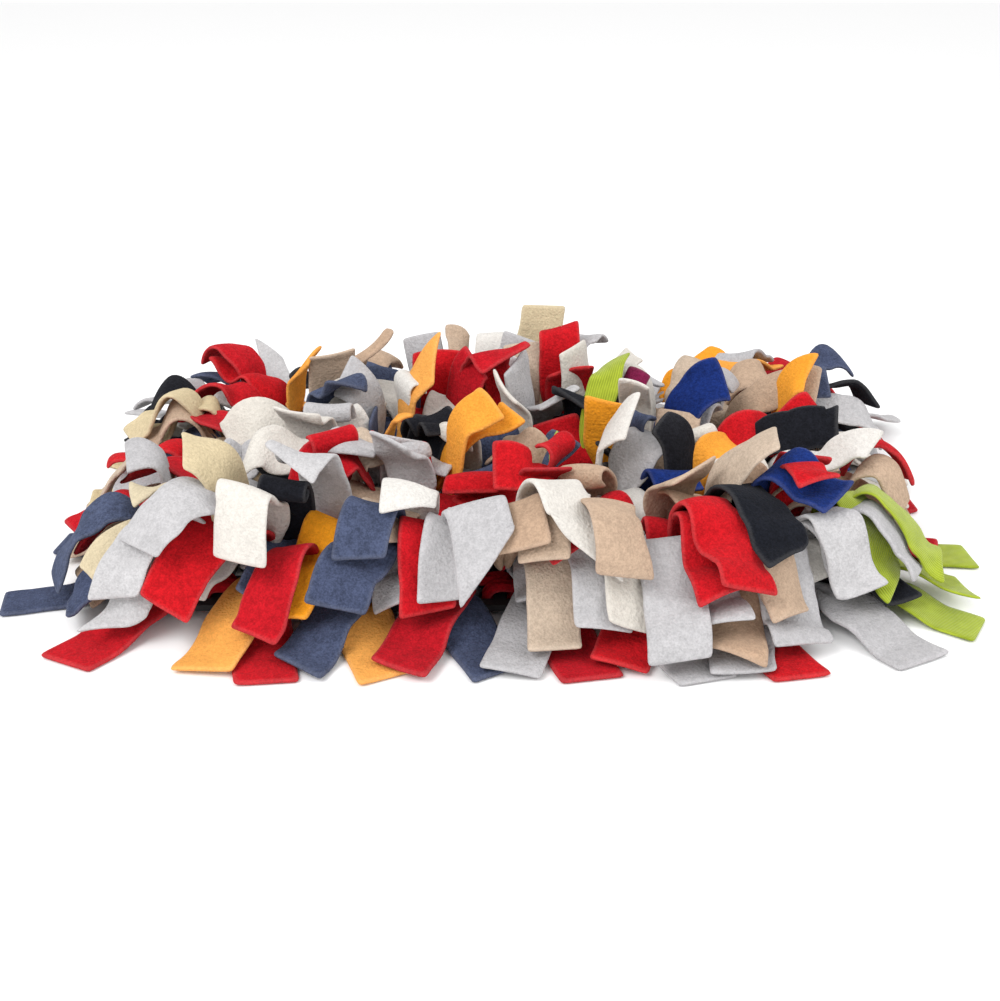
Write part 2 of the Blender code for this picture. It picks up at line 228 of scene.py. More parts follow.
cloths = {name: makeFleece(name, dye) for name, dye in dyes.items()}
cloths["lime"] = makeJersey()
rubberCloth = makeRubber()
print("materials made:", len(cloths) + 1)


# bands of cloth
band = {
    "thick": 3.0,
    "jerseyThick": 2.0,
    "columns": 8,        # faces across
    "row": 5.0,          # mm of cloth to a row of faces
    "pleat": 3.8,        # how deep the cloth pleats where it is gathered
    "cupCentre": 0.35,   # how far a cup's middle is under the band's line, as a share of the cup
    "crumple": 1.1,
    "gathered": 10.0,    # width of a root
    "fan": 30.0,         # length over which a root fans out
}


def smoothStep(share):
    share = np.clip(share, 0, 1)
    return share * share * (3 - 2 * share)


def unit(vectors):
    return vectors / np.maximum(np.linalg.norm(vectors, axis=-1, keepdims=True), 1e-9)


def wander(chance, places, reach):
    # a smooth random line, about -1 to 1, that changes over the reach
    first, last = places.min() - reach, places.max() + reach
    knots = np.arange(first, last + 2 * reach, reach)
    values = chance.uniform(-1, 1, len(knots))
    spot = (places - first) / reach
    low = np.clip(spot.astype(int), 0, len(knots) - 2)
    share = smoothStep(spot - low)
    return values[low] * (1 - share) + values[low + 1] * share


class Band:
    # one length of cloth: its line, and how it lies across that line, at every millimetre or so

    def __init__(self, along, at, across, up, wide, full, seed, cut=0.0, cup=0.0, startCut=None):
        self.along, self.at, self.across, self.up = along, at, across, up
        self.wide, self.full, self.seed = wide, full, seed
        self.cut, self.cup, self.startCut = cut, cup, startCut

    def points(self, rows, columns):
        chance = np.random.default_rng(self.seed)
        long = self.along[-1]
        s = np.linspace(0, long, rows)[:, None]
        u = np.linspace(-1, 1, columns)[None, :]
        skew = math.tan(math.radians(self.cut)) * u * self.full / 2
        place = s + skew * smoothStep((s - long + 26) / 26)
        if self.startCut is not None:
            slant = math.tan(math.radians(self.startCut)) * u * self.full / 2
            place = place + slant * smoothStep((26 - s) / 26)
        else:
            place = np.maximum(place, 0)

        def read(values):
            inside = np.clip(place, 0, long)
            return np.interp(inside.ravel(), self.along, values).reshape(place.shape)

        at = np.stack([read(self.at[:, i]) for i in range(3)], axis=-1)
        across = unit(np.stack([read(self.across[:, i]) for i in range(3)], axis=-1))
        up = unit(np.stack([read(self.up[:, i]) for i in range(3)], axis=-1))
        beyond = place - np.clip(place, 0, long)
        way = unit(np.cross(across, up))
        at = at + way * beyond[..., None]
        wide = read(self.wide)
        gather = 1 - np.clip(wide / self.full, 0, 1)
        pleat = band["pleat"] * gather * np.cos(2 * math.pi * u + 0.6 * math.sin(self.seed))
        edges = 1 + 0.035 * wander(chance, s.ravel(), 14)[:, None] * np.sign(u) * (abs(u) > 0.9)
        cup = self.cup * (u * u - band["cupCentre"]) * (1 - gather) * smoothStep(s / 30)
        wave = wander(chance, s.ravel(), 17)[:, None] * u
        wave = wave + wander(chance, s.ravel(), 23)[:, None] * (u * u - 0.4)
        ridge = wander(chance, s.ravel(), 11)[:, None] * 0.35
        lift = pleat + cup + band["crumple"] * (wave + ridge) * (1 - 0.5 * gather)
        shape = at + across * (u * edges * wide / 2)[..., None] + up * lift[..., None]
        shape[..., 2] = np.maximum(shape[..., 2], band["thick"] / 2 + 0.4)
        return shape, place, u * self.full / 2


def addCloth(name, bands, thick, cloth):
    # flat cut bands, shaped and given their thickness: one mesh
    made = []
    for one in bands:
        rows = max(int(round(one.along[-1] / band["row"])), 6) + 1
        columns = band["columns"] + 1
        bpy.ops.object.select_all(action="DESELECT")
        bpy.ops.mesh.primitive_grid_add(x_subdivisions=columns - 1, y_subdivisions=rows - 1, size=1)
        piece = bpy.context.object
        corners = np.empty(len(piece.data.vertices) * 3)
        piece.data.vertices.foreach_get("co", corners)
        corners = corners.reshape(-1, 3)
        column = np.rint((corners[:, 0] + 0.5) * (columns - 1)).astype(int)
        row = np.rint((corners[:, 1] + 0.5) * (rows - 1)).astype(int)
        shape, place, side = one.points(rows, columns)
        piece.data.vertices.foreach_set("co", (shape[row, column] * mm).ravel())
        side = np.broadcast_to(side, place.shape)
        chance = np.random.default_rng(one.seed + 7)
        # border vertices of each strip, where the fleece material paints a pale highlight
        rim = np.where((column == 0) | (column == columns - 1) | (row == rows - 1) | (row == 0), 1.0, 0.0)
        values = {
            "across": side[row, column] * mm,
            "along": place[row, column] * mm,
            "batch": np.full(len(row), chance.uniform(0, 1) ** 1.5),
            "rim": rim,
        }
        for key, value in values.items():
            layer = piece.data.attributes.new(key, "FLOAT", "POINT")
            layer.data.foreach_set("value", value.astype(np.float32))
        made.append(piece)
    bpy.ops.object.select_all(action="DESELECT")
    for piece in made:
        piece.select_set(True)
    bpy.context.view_layer.objects.active = made[0]
    if len(made) > 1:
        bpy.ops.object.join()
    piece = bpy.context.object
    piece.name = name
    piece.data.name = name
    solid = piece.modifiers.new("wall", "SOLIDIFY")
    solid.thickness = thick * mm
    solid.offset = 0
    soft = piece.modifiers.new("soft", "SUBSURF")
    soft.levels = soft.render_levels = 1
    for modifier in ("wall", "soft"):
        bpy.ops.object.modifier_apply(modifier=modifier)
    for layer in list(piece.data.uv_layers):
        piece.data.uv_layers.remove(layer)
    bpy.ops.object.shade_smooth()
    piece.data.materials.clear()
    piece.data.materials.append(cloth)
    return piece


# the pile: the height of what is already laid
ground = {"cell": 1.5, "reachX": 345.0, "reachY": 250.0}


class Pile:
    def __init__(self):
        columns = int(2 * ground["reachX"] / ground["cell"])
        rows = int(2 * ground["reachY"] / ground["cell"])
        self.top = np.zeros((columns, rows))

    def cells(self, x, y):
        column = ((x + ground["reachX"]) / ground["cell"]).astype(int)
        row = ((y + ground["reachY"]) / ground["cell"]).astype(int)
        return np.clip(column, 0, self.top.shape[0] - 1), np.clip(row, 0, self.top.shape[1] - 1)

    def height(self, x, y):
        return self.top[self.cells(x, y)]

    def cover(self, shape, thick):
        rows = np.linspace(0, shape.shape[0] - 1, shape.shape[0] * 5)
        columns = np.linspace(0, shape.shape[1] - 1, shape.shape[1] * 4)
        low = np.minimum(rows.astype(int), shape.shape[0] - 2)
        left = np.minimum(columns.astype(int), shape.shape[1] - 2)
        a = (rows - low)[:, None, None]
        b = (columns - left)[None, :, None]
        one, two = shape[low][:, left], shape[low + 1][:, left]
        three, four = shape[low][:, left + 1], shape[low + 1][:, left + 1]
        fine = (one * (1 - a) + two * a) * (1 - b) + (three * (1 - a) + four * a) * b
        place = self.cells(fine[..., 0].ravel(), fine[..., 1].ravel())
        np.maximum.at(self.top, place, fine[..., 2].ravel() + thick / 2)


pile = Pile()


# the tied strips, from the frame's solids
def ringsOf(node):
    # four corners at a time from one cut end of a strip to the other
    corners = np.array([list(vertex.co) for vertex in node.data.vertices])
    _, first, same = np.unique(np.round(corners, 5), axis=0, return_index=True, return_inverse=True)
    corners = corners[first] / mm
    same = same.reshape(-1)
    faces = [{int(same[i]) for i in polygon.vertices} for polygon in node.data.polygons]
    near = {i: set() for i in range(len(corners))}
    for face in faces:
        for i in face:
            near[i] |= face - {i}
    for one in faces:
        for two in faces:
            if len(one & two) != 2:
                continue
            rings = [one | two]
            seen = set(rings[0])
            while True:
                ahead = set().union(*[near[i] for i in rings[-1]]) - seen
                if len(ahead) != 4:
                    break
                rings.append(ahead)
                seen |= ahead
            if not ahead and len(seen) == len(corners):
                return [corners[sorted(ring)] for ring in rings]
    raise ValueError("no rings in " + node.name)


def bandOf(node, seed):
    # the refined band that lies along a tied strip's solid
    rings = ringsOf(node)
    sections = []
    side = None
    for order, ring in enumerate(rings):
        middle = ring.mean(axis=0)
        ahead = rings[min(order + 1, len(rings) - 1)].mean(axis=0) - rings[max(order - 1, 0)].mean(axis=0)
        pairs = [(np.linalg.norm(ring[0] - ring[i]), i) for i in (1, 2, 3)]
        pairs.sort()
        thin, wide = pairs[0], pairs[1]
        across = ring[wide[1]] - ring[0]
        rise = ring[thin[1]] - ring[0]
        if side is not None and len(sections) and abs(unit(across) @ side) < abs(unit(rise) @ side):
            across, rise, thin, wide = rise, across, wide, thin
        across = unit(across)
        if side is not None and across @ side < 0:
            across = -across
        side = across
        up = unit(np.cross(unit(ahead), across))
        sections.append((middle, across, up, wide[0], thin[0]))
    middles = np.array([cut[0] for cut in sections])
    along = np.concatenate([[0], np.cumsum(np.linalg.norm(np.diff(middles, axis=0), axis=1))])
    fine = np.linspace(0, along[-1], int(along[-1] / 1.2))

    def smooth(values):
        values = np.array(values, float)
        slopes = np.gradient(values, along, axis=0)
        low = np.clip(np.searchsorted(along, fine, "right") - 1, 0, len(along) - 2)
        gap = (along[low + 1] - along[low])
        share = (fine - along[low]) / gap
        if values.ndim > 1:
            gap, share = gap[:, None], share[:, None]
        a, b = values[low], values[low + 1]
        return (
            (2 * share**3 - 3 * share**2 + 1) * a + (share**3 - 2 * share**2 + share) * gap * slopes[low]
            + (3 * share**2 - 2 * share**3) * b + (share**3 - share**2) * gap * slopes[low + 1]
        )

    wide = np.interp(fine, along, [cut[3] for cut in sections])
    chance = np.random.default_rng(seed)
    one = Band(
        fine, smooth(middles), unit(smooth([cut[1] for cut in sections])),
        unit(smooth([cut[2] for cut in sections])), wide, wide.max(), seed,
        cut=chance.uniform(-14, 14), cup=chance.uniform(-1.2, 1.2), startCut=chance.uniform(-14, 14),
    )
    return one


slotOf = {part["node"]: part["material_slot"] for part in frame["record"]["subparts"]}


def tiedStrips():
    names = sorted(name for name in frame["nodes"] if name.startswith("strip_"))
    for order, name in enumerate(names):
        one = bandOf(frame["nodes"][name], 100 + order)
        colour = slotOf[name]
        thick = band["jerseyThick"] if colour == "lime" else band["thick"]
        shape, _, _ = one.points(int(one.along[-1] / 4), band["columns"] + 1)
        pile.cover(shape, thick)
        piece = addCloth("tied_" + name, [one], thick, cloths[colour])
        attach(piece, "root")
        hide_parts(name)
        one.full * mm
        one.along[-1] * mm


tiedStrips()
print("tied strips refined")

frame["nodes"]["lattice"].data.materials.clear()
frame["nodes"]["lattice"].data.materials.append(rubberCloth)


# the further strips, laid over those
drop = {
    "gap": 0.6,
    "bury": 5.0,         # how far under the pile's top a root starts
    "rootLow": 7.0,
    "rootHigh": 32.0,    # no root is higher, since all are tied at the lattice
    "through": 26.0,     # how much of a tail may rise between the others
    "rim": 34.0,         # the mound's height at its rim and at its crown
    "crown": 84.0,
    "radius": 13.0,      # the tightest that lying cloth bends
    "steepest": 1.35,
    "tilt": 0.42,
    "tipLength": 34.0,
    "slopes": (1, 0.8, 0.6, 0.4, 0.2, 0),
    "ownBend": 16.0,     # degrees that each tail bends and twists by itself
    "ownTwist": 16.0,
    "step": 1.2,
}


def hang(distance):
    bend = drop["steepest"] * drop["radius"]
    curved = distance * distance / (2 * drop["radius"])
    straight = bend * drop["steepest"] / 2 + (distance - bend) * drop["steepest"]
    return np.where(distance < bend, curved, straight)


def ceiling(x, y):
    inside = np.clip(1 - (x / 310) ** 2 - ((y - 25) / 215) ** 2, 0, 1)
    return drop["rim"] + (drop["crown"] - drop["rim"]) * np.sqrt(inside)


# a tail from its root: it leaves the pile at the rise, bends over and lies on what is below it
def traceTail(seed, colour, x, y, heading, long, wide, rise=30, over=34, fall=-45, tip=0, bend=0, cut=None,
              twist=0, roll=0, hook=0, hookTurn=160, gather=None):
    chance = np.random.default_rng(seed)
    thick = band["jerseyThick"] if colour == "lime" else band["thick"]
    bend += chance.uniform(-drop["ownBend"], drop["ownBend"])
    twist += chance.uniform(-drop["ownTwist"], drop["ownTwist"])
    cup = chance.uniform(-3.4, 2.0)
    step = drop["step"]
    s = np.arange(int(long * 1.5 / step)) * step
    pitch = np.radians(rise + (fall - rise) * smoothStep((s - 4) / over))
    theta = np.radians(heading - bend / 2 + bend * np.clip(s / long, 0, 1.2))
    run = np.cos(pitch) * step
    px = x + np.cumsum(run * np.cos(theta)) - run[0] * math.cos(theta[0])
    py = y + np.cumsum(run * np.sin(theta)) - run[0] * math.sin(theta[0])
    top = float(pile.height(np.array([x]), np.array([y]))[0])
    start = min(max(top - drop["bury"], drop["rootLow"]), drop["rootHigh"])
    pz = start + np.cumsum(np.sin(pitch) * step)
    gathered = band["gathered"] if gather is None else gather
    full = gathered + (wide - gathered) * smoothStep(s / band["fan"])
    turned = np.radians(roll + twist * smoothStep((s - 12) / max(long - 12, 1)))
    offsets = np.linspace(-1, 1, 11)[None, :] * (full[:, None] / 2 + 0.6) * np.abs(np.cos(turned))[:, None]
    acrossX = px[:, None] - np.sin(theta)[:, None] * offsets
    acrossY = py[:, None] + np.cos(theta)[:, None] * offsets
    below = pile.height(acrossX, acrossY)
    tilt = (below[:, 7:].mean(axis=1) - below[:, :4].mean(axis=1)) / (full * 0.7)
    tilt = np.convolve(np.pad(tilt, 6, mode="edge"), np.ones(13) / 13, mode="valid")
    tilt = np.clip(tilt, -drop["tilt"], drop["tilt"])
    tilt *= smoothStep((s - 8) / 20) * np.abs(np.cos(turned))
    need = (below - tilt[:, None] * offsets).max(axis=1) + drop["gap"] + thick / 2
    need = need + np.abs(np.sin(turned)) * full / 2
    need = need + max((band["cupCentre"] - 1) * cup, band["cupCentre"] * cup) + band["crumple"]
    short = need - pz
    inner = s[np.argmax(pz > top)] if (pz > top).any() else drop["through"]
    short[s < min(max(inner, 9), drop["through"])] = -50
    lift = (short[None, :] - hang(np.abs(s[:, None] - s[None, :]))).max(axis=1)
    pz = pz + np.maximum(lift, 0) * smoothStep(s / 9)
    at = np.stack([px, py, pz], axis=1)
    arc = np.concatenate([[0], np.cumsum(np.linalg.norm(np.diff(at, axis=0), axis=1))])
    at[:, 2] += tip * np.clip((arc - long + drop["tipLength"]) / drop["tipLength"], 0, 1.1) ** 2
    arc = np.concatenate([[0], np.cumsum(np.linalg.norm(np.diff(at, axis=0), axis=1))])
    lain = long - hook
    fine = np.linspace(0, lain, int(lain / step))
    at = np.stack([np.interp(fine, arc, at[:, i]) for i in range(3)], axis=1)
    theta, tilt, turned = [np.interp(fine, arc, values) for values in (theta, tilt, turned)]
    way = unit(np.gradient(at, axis=0))
    side = np.stack([-np.sin(theta), np.cos(theta), tilt], axis=1)
    across = unit(side - way * (side * way).sum(axis=1)[:, None])
    rise3 = np.cross(way, across)
    if hook:
        steps = int(hook / step)
        angles = np.radians(hookTurn) * smoothStep(np.arange(1, steps + 1) / steps * 0.92 + 0.02)
        ways = way[-1] * np.cos(angles)[:, None] + rise3[-1] * np.sin(angles)[:, None]
        ups = rise3[-1] * np.cos(angles)[:, None] - way[-1] * np.sin(angles)[:, None]
        at = np.vstack([at, at[-1] + np.cumsum(ways * step, axis=0)])
        rise3 = np.vstack([rise3, ups])
        across = np.vstack([across, np.repeat(across[-1:], steps, axis=0)])
        turned = np.concatenate([turned, np.full(steps, turned[-1])])
        fine = np.concatenate([fine, lain + np.arange(1, steps + 1) * step])
    cos, sin = np.cos(turned)[:, None], np.sin(turned)[:, None]
    across, rise3 = across * cos + rise3 * sin, rise3 * cos - across * sin
    full = gathered + (wide - gathered) * smoothStep(fine / band["fan"])
    one = Band(fine, at, across, rise3, full, wide, seed,
               cut=chance.uniform(-16, 16) if cut is None else cut, cup=cup)
    return one


def layTail(seed, colour, x, y, heading, long, wide, rise=30, top=None, **ways):
    # a tail that would stand out of the mound leaves its root at less of a slope
    for share in drop["slopes"]:
        one = traceTail(seed, colour, x, y, heading, long, wide, rise=rise * share, **ways)
        limit = ceiling(one.at[:, 0], one.at[:, 1]) if top is None else top
        if (one.at[:, 2] - limit).max() < 0:
            break
    shape, _, _ = one.points(int(one.along[-1] / 4), band["columns"] + 1)
    pile.cover(shape, band["jerseyThick"] if colour == "lime" else band["thick"])
    return one


# colour, x and y of the root, heading in degrees, length, width, then how it lies
layers = {
    "between": [
        ("beige", -182, -84, -150, 92, 29, {}),
        ("white", -154, -84, -118, 90, 31, {}),
        ("slate", -126, -84, -100, 86, 29, {}),
        ("red", -98, -84, -98, 92, 31, {}),
        ("light_grey", -70, -84, -82, 90, 31, {}),
        ("black", -42, -84, -75, 84, 28, {}),
        ("white", -14, -84, -102, 88, 31, {}),
        ("light_grey", 14, -84, -82, 92, 31, {}),
        ("mustard", 42, -84, -98, 86, 29, {}),
        ("light_grey", 70, -84, -78, 92, 31, {}),
        ("red", 98, -84, -88, 92, 31, {}),
        ("slate", 126, -84, -66, 88, 29, {}),
        ("white", 154, -84, -60, 92, 31, {}),
        ("black", 182, -84, -44, 84, 28, {}),
        ("light_grey", -196, 0, 176, 88, 31, {}),
        ("slate", -196, 56, 166, 84, 28, {}),
        ("white", -196, 84, 158, 88, 31, {}),
        ("beige", 196, 0, -8, 86, 29, {}),
        ("light_grey", 196, 70, 12, 92, 31, {}),
        ("slate", 196, 98, 24, 86, 28, {}),
        ("beige", -154, 84, 130, 90, 29, {}),
        ("mustard", -126, 84, 112, 86, 29, {"rise": 45}),
        ("light_grey", -98, 84, 96, 88, 31, {"rise": 50}),
        ("white", -70, 84, 108, 86, 29, {"rise": 55}),
        ("slate", -42, 84, 84, 88, 29, {"rise": 50}),
        ("light_grey", -14, 84, 104, 90, 31, {"rise": 55}),
        ("beige", 14, 84, 78, 88, 29, {"rise": 50}),
        ("red", 42, 84, 92, 90, 29, {"rise": 55}),
        ("white", 70, 84, 70, 88, 31, {"rise": 50}),
        ("light_grey", 98, 84, 82, 86, 29, {"rise": 55}),
        ("black", 126, 84, 58, 88, 28, {"rise": 45}),
        ("beige", 154, 84, 64, 90, 31, {"rise": 45}),
        ("red", -154, 28, 150, 80, 29, {}),
        ("black", -100, 28, 100, 70, 29, {"rise": 50}),
        ("white", -44, 28, 70, 70, 29, {"rise": 50}),
        ("red", 12, 28, 110, 70, 29, {"rise": 50}),
        ("beige", 68, 28, 80, 70, 29, {"rise": 50}),
        ("light_grey", 124, 28, 60, 74, 29, {"rise": 50}),
        ("light_grey", -130, -28, -130, 76, 31, {}),
        ("beige", -74, -28, -100, 74, 31, {}),
        ("slate", -16, -28, -80, 72, 29, {}),
        ("white", 40, -28, -90, 74, 31, {}),
        ("navy", 96, -28, -70, 72, 29, {}),
        ("light_grey", 150, -28, -40, 78, 31, {}),
    ],
    "inner": [
        ("light_grey", -140, 0, 110, 70, 33, {}),
        ("slate", -112, 0, -60, 66, 29, {}),
        ("white", -84, 0, 140, 70, 33, {"roll": -22}),
        ("black", -56, 0, 60, 66, 29, {}),
        ("light_grey", -28, 0, -120, 70, 33, {}),
        ("slate", 0, 0, 100, 66, 31, {}),
        ("light_grey", 28, 0, -40, 70, 33, {"roll": 22}),
        ("red", 56, 0, 130, 68, 33, {"roll": -22}),
        ("black", 84, 0, -110, 66, 29, {}),
        ("beige", 112, 0, 70, 70, 33, {}),
        ("light_grey", 140, 0, -70, 70, 33, {}),
        ("white", -120, 42, 40, 70, 33, {"roll": 22}),
        ("light_grey", -84, 42, 160, 68, 33, {"roll": -22}),
        ("red", -30, 42, 20, 68, 33, {"roll": 22}),
        ("light_grey", 20, 42, 170, 68, 33, {"roll": -22}),
        ("black", 50, 42, -20, 66, 29, {"roll": 22}),
        ("white", 100, 42, 150, 70, 33, {"roll": -22}),
        ("beige", -100, -42, 30, 66, 33, {"roll": 22}),
        ("red", -50, -42, 160, 66, 33, {"roll": -22}),
        ("slate", -5, -42, 20, 66, 29, {"roll": 22}),
        ("beige", 30, -42, 150, 66, 33, {"roll": -22}),
        ("light_grey", 75, -42, 30, 66, 33, {"roll": 22}),
        ("black", 120, -42, 160, 66, 29, {"roll": -22}),
        ("light_grey", 0, 75, 20, 66, 33, {"roll": 22}),
        ("slate", -60, 75, -20, 66, 29, {"roll": 22}),
        ("white", 60, 75, 160, 66, 33, {"roll": -22}),
    ],
    "leftRim": [
        ("slate", -180, -95, -152, 125, 26, {"cut": 12}),
        ("red", -190, -70, -162, 95, 26, {"bend": -20}),
        ("beige", -195, -20, -160, 92, 29, {"cut": 30}),
        ("black", -215, 95, 163, 80, 19, {"tip": 3}),
        ("light_grey", -210, 130, 152, 85, 29, {"cut": 35}),
        ("cream", -195, 75, -168, 95, 28, {"bend": 14}),
        ("cream", -165, -95, -147, 100, 28, {}),
        ("light_grey", -150, -110, -140, 120, 26, {"cut": -50, "bend": 16}),
        ("red", -175, -10, -158, 85, 33, {"rise": 30, "cut": -12}),
        ("beige", -200, 55, -178, 75, 26, {}),
        ("red", -165, 100, 178, 88, 29, {"rise": 50, "over": 70}),
        ("white", -190, 130, 155, 80, 33, {"rise": 35}),
        ("slate", -175, 140, 165, 80, 29, {"rise": 40, "over": 60}),
    ],
    "frontRim": [
        ("red", -135, -100, -127, 110, 33, {"cut": 8}),
        ("mustard", -88, -100, -120, 110, 34, {"bend": -22, "cut": -30}),
        ("slate", -55, -112, -121, 95, 36, {"cut": -8}),
        ("beige", -60, -95, -100, 80, 33, {}),
        ("red", -42, -112, -88, 98, 33, {"cut": -10}),
        ("beige", 25, -125, -86, 88, 31, {}),
        ("light_grey", 52, -120, -84, 88, 34, {}),
        ("red", 2, -112, -52, 88, 31, {}),
        ("beige", 128, -120, -88, 88, 33, {}),
        ("light_grey", 150, -108, -74, 100, 41, {"cut": -4}),
        ("light_grey", 165, -90, -48, 82, 29, {}),
        ("beige", 165, -75, -28, 78, 31, {}),
    ],
    "rightRim": [
        ("red", 205, -22, -12, 92, 22, {"cut": -14}),
        ("beige", 200, -35, -18, 88, 26, {"cut": -30}),
        ("lime", 200, -65, -30, 120, 33, {"cut": -35}),
        ("lime", 195, -72, -60, 104, 34, {"cut": -40}),
        ("white", 205, 55, -8, 85, 28, {"cut": -35}),
        ("light_grey", 190, 35, -16, 82, 31, {}),
        ("black", 200, 105, -15, 80, 29, {}),
        ("red", 205, 130, -4, 78, 21, {}),
        ("light_grey", 232, 146, 4, 96, 36, {"cut": 0}),
        ("red", 195, 145, 15, 84, 26, {"rise": 35, "over": 50}),
    ],
    "backRim": [
        ("red", 150, 135, 34, 112, 38, {"rise": 38, "over": 100, "fall": 10}),
        ("light_grey", 112, 135, 52, 88, 21, {"rise": 48, "over": 90, "fall": 12}),
        ("mustard", 120, 140, 48, 88, 21, {"rise": 42, "over": 90, "fall": 12}),
        ("beige", 135, 125, 62, 72, 33, {"rise": 55, "over": 60}),
        ("mustard", 160, 140, 35, 78, 33, {"rise": 62, "over": 60}),
        ("beige", 165, 118, 12, 82, 36, {"rise": 48, "over": 50}),
        ("red", 42, 128, 62, 70, 18, {"rise": 72, "over": 60, "fall": 60, "roll": 40, "top": 88}),
        ("slate", -5, 130, 80, 80, 29, {"rise": 62, "over": 60, "fall": 20}),
        ("slate", -80, 118, 112, 82, 31, {"rise": 55, "over": 70}),
        ("light_grey", -150, 138, 115, 86, 19, {"rise": 50, "over": 90, "fall": 35, "cut": 50}),
        ("beige", -100, 135, 70, 70, 21, {"rise": 50, "over": 60}),
        ("red", -160, 118, 152, 90, 36, {"rise": 55, "over": 70}),
        ("black", -120, 120, 145, 72, 31, {"rise": 50, "over": 60}),
        ("beige", -125, 140, -50, 92, 36, {"rise": 40, "over": 50}),
        ("light_grey", 40, 110, 40, 80, 33, {"rise": 50, "over": 60}),
        ("white", 70, 112, 62, 80, 29, {"rise": 55, "over": 70, "fall": 10, "cut": 40}),
        ("light_grey", 62, 98, 20, 76, 33, {"rise": 50, "over": 60}),
        ("light_grey", -42, 106, 110, 73, 29, {"rise": 74, "over": 70, "fall": 58, "top": 84}),
        ("beige", -26, 106, 95, 75, 21, {"rise": 76, "over": 70, "fall": 62, "roll": 30, "top": 84}),
        ("white", -12, 102, 82, 73, 26, {"rise": 74, "over": 70, "fall": 60, "top": 84}),
        ("light_grey", 6, 98, 60, 63, 33, {"rise": 70, "over": 70, "fall": 40, "top": 82}),
        ("beige", 2, 88, 75, 60, 12, {"rise": 72, "over": 60, "fall": 50, "twist": 50, "top": 84}),
    ],
    "skirt": [
        ("red", -208, -60, -165, 98, 26, {}),
        ("beige", -206, -28, -169, 94, 29, {}),
        ("light_grey", -204, -45, -174, 84, 30, {}),
        ("cream", -204, 62, -177, 98, 27, {}),
        ("black", -212, 88, 168, 84, 22, {}),
        ("light_grey", -212, 112, 158, 82, 30, {}),
        ("red", -206, 20, -176, 86, 30, {}),
        ("slate", -208, -88, -158, 102, 27, {}),
        ("light_grey", -170, -112, -132, 108, 30, {"cut": -20}),
        ("red", -112, -116, -112, 92, 31, {}),
        ("slate", -66, -118, -106, 90, 31, {}),
        ("light_grey", -24, -118, -98, 92, 31, {}),
        ("beige", 20, -120, -88, 92, 30, {}),
        ("white", 66, -118, -84, 88, 31, {}),
        ("light_grey", 104, -116, -74, 92, 31, {}),
        ("beige", 142, -114, -70, 96, 31, {}),
        ("light_grey", 178, -104, -54, 96, 32, {"cut": 18}),
        ("light_grey", 200, -88, -40, 90, 30, {}),
        ("lime", 206, -72, -34, 104, 30, {"cut": -25}),
        ("beige", 214, -48, -20, 80, 29, {}),
        ("red", 216, -26, -9, 88, 25, {}),
        ("white", 216, 52, -6, 84, 28, {}),
        ("light_grey", 214, 78, 6, 84, 30, {}),
        ("black", 214, 102, 10, 80, 28, {}),
        ("slate", 206, 120, 20, 80, 29, {}),
        ("light_grey", 168, 138, 52, 78, 29, {"rise": 45}),
        ("red", -178, 130, 148, 78, 30, {"rise": 40}),
    ],
    "middleLeft": [
        ("light_grey", -132, -16, -174, 88, 31, {"rise": 35, "roll": -22}),
        ("black", -132, -28, -118, 56, 29, {"rise": 35}),
        ("white", -98, -34, -164, 88, 38, {"rise": 45, "cut": 45, "roll": -22}),
        ("red", -78, -42, -134, 84, 34, {"rise": 45, "bend": 40, "roll": -22}),
        ("white", -135, 22, -166, 78, 38, {"rise": 60, "over": 60, "roll": -22}),
        ("white", -122, 12, -112, 84, 38, {"rise": 60, "over": 60}),
        ("light_grey", -80, -25, -106, 80, 34, {"rise": 50}),
        ("slate", -122, 58, -58, 78, 36, {"rise": 66, "over": 66, "fall": -60}),
        ("slate", -90, 32, -30, 58, 31, {"rise": 50, "roll": 22}),
        ("red", -70, -18, -128, 52, 29, {"rise": 60, "over": 44}),
        ("light_grey", -62, -12, -86, 52, 31, {"rise": 50}),
        ("mustard", -80, 12, -50, 60, 14, {"rise": 50, "roll": 20}),
        ("mustard", -150, 88, -40, 74, 26, {"rise": 40, "roll": 22}),
        ("beige", -120, 80, -70, 70, 34, {"rise": 45}),
    ],
    "middle": [
        ("black", -58, 32, -62, 76, 31, {"rise": 50}),
        ("red", -15, -48, -96, 54, 36, {"rise": 55, "over": 40}),
        ("red", 48, -66, -168, 78, 33, {"rise": 45, "bend": -30, "roll": -22}),
        ("mustard", -42, -16, -6, 84, 29, {"rise": 35, "bend": 30, "roll": 30}),
        ("lime", 28, -28, -22, 44, 28, {"rise": 50, "roll": 22}),
        ("white", 58, -32, -34, 74, 36, {"rise": 50, "roll": 22}),
        ("red", 52, -72, -50, 46, 26, {"rise": 70, "over": 40, "fall": -80, "roll": 22}),
        ("beige", 96, -60, -62, 72, 40, {"rise": 40, "cut": 0}),
        ("white", -34, 28, -20, 56, 22, {"rise": 70, "over": 50, "roll": 22}),
        ("white", 14, 22, -130, 68, 34, {"rise": 60, "over": 60, "roll": -22}),
        ("mustard", -72, 46, -8, 78, 33, {"rise": 50, "over": 70, "cut": 35, "roll": 22}),
        ("red", -15, 66, -58, 94, 40, {"rise": 55, "over": 80}),
        ("red", -42, 62, 95, 66, 36, {"rise": 70, "over": 60, "fall": 30}),
        ("light_grey", 24, 66, -62, 80, 33, {"rise": 50, "over": 60}),
        ("black", 62, 42, -122, 66, 36, {"rise": 50}),
        ("red", 46, 84, -78, 56, 33, {"rise": 45}),
        ("lime", 60, 8, 70, 96, 22, {"rise": 40, "over": 90, "fall": 20, "gather": 6}),
        ("mustard", 70, -2, -86, 60, 31, {"rise": 78, "over": 56, "fall": -85}),
    ],
    "loops": [
